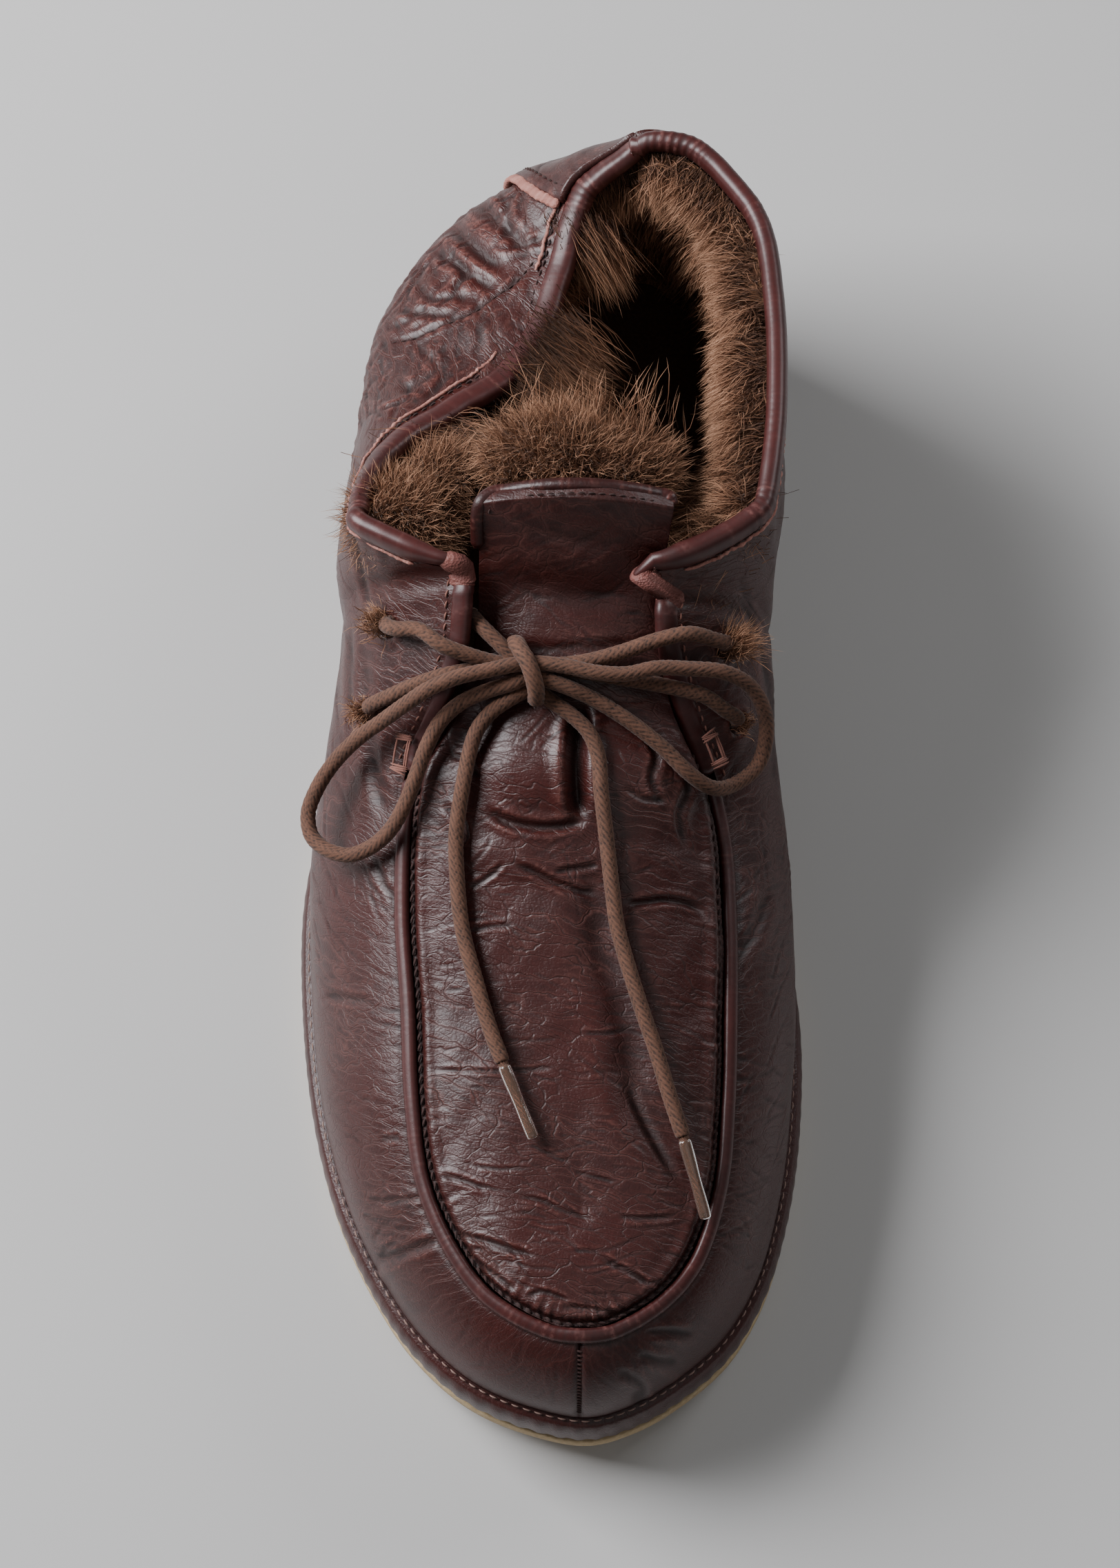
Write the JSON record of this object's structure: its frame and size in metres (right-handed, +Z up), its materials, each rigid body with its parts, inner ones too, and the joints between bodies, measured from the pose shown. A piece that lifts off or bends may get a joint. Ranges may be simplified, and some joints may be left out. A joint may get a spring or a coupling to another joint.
{
  "type": "fur-lined moccasin",
  "caption": "Soft leather moccasin boot for the house: apron toe, slumped fur-lined collar, tongue and a cord bow.",
  "frame": {"origin": "on the floor under the middle of the heel, at the flat spot the heel stands on", "axes": "+Z up, +Y from toe to heel along the sole, +X towards the inner side of the foot"},
  "size_m": [0.1114, 0.2859, 0.1123],
  "materials": {
    "outsole": "matt tan crepe",
    "leather": "oxblood glove leather, creased, with a soft sheen",
    "leather_edge": "rolled leather edge, rubbed to a pinkish red-brown",
    "insole": "short brown pile",
    "fur": "long brown fur with paler tips",
    "cord": "braided brown cotton cord",
    "aglet": "clear sleeve over the cord's end"
  },
  "bodies": {
    "root": {"outsole": "outsole", "wrapped_midsole": "leather", "insole": "insole", "upper": "leather", "apron_tongue": "leather", "tongue_binding": "leather_edge", "apron_piping": "leather_edge", "facing_binding_lateral": "leather_edge", "facing_binding_medial": "leather_edge", "collar_binding": "leather_edge", "heel_counter": "leather", "fur_lining": "fur", "tongue_fur": "fur", "lace_bars": "cord", "lace_knot": "cord", "lace_loop_lateral": "cord", "lace_loop_medial": "cord", "lace_end_lateral": "cord", "lace_end_medial": "cord", "aglet_lateral": "aglet", "aglet_medial": "aglet"}
  },
  "joints": []
}
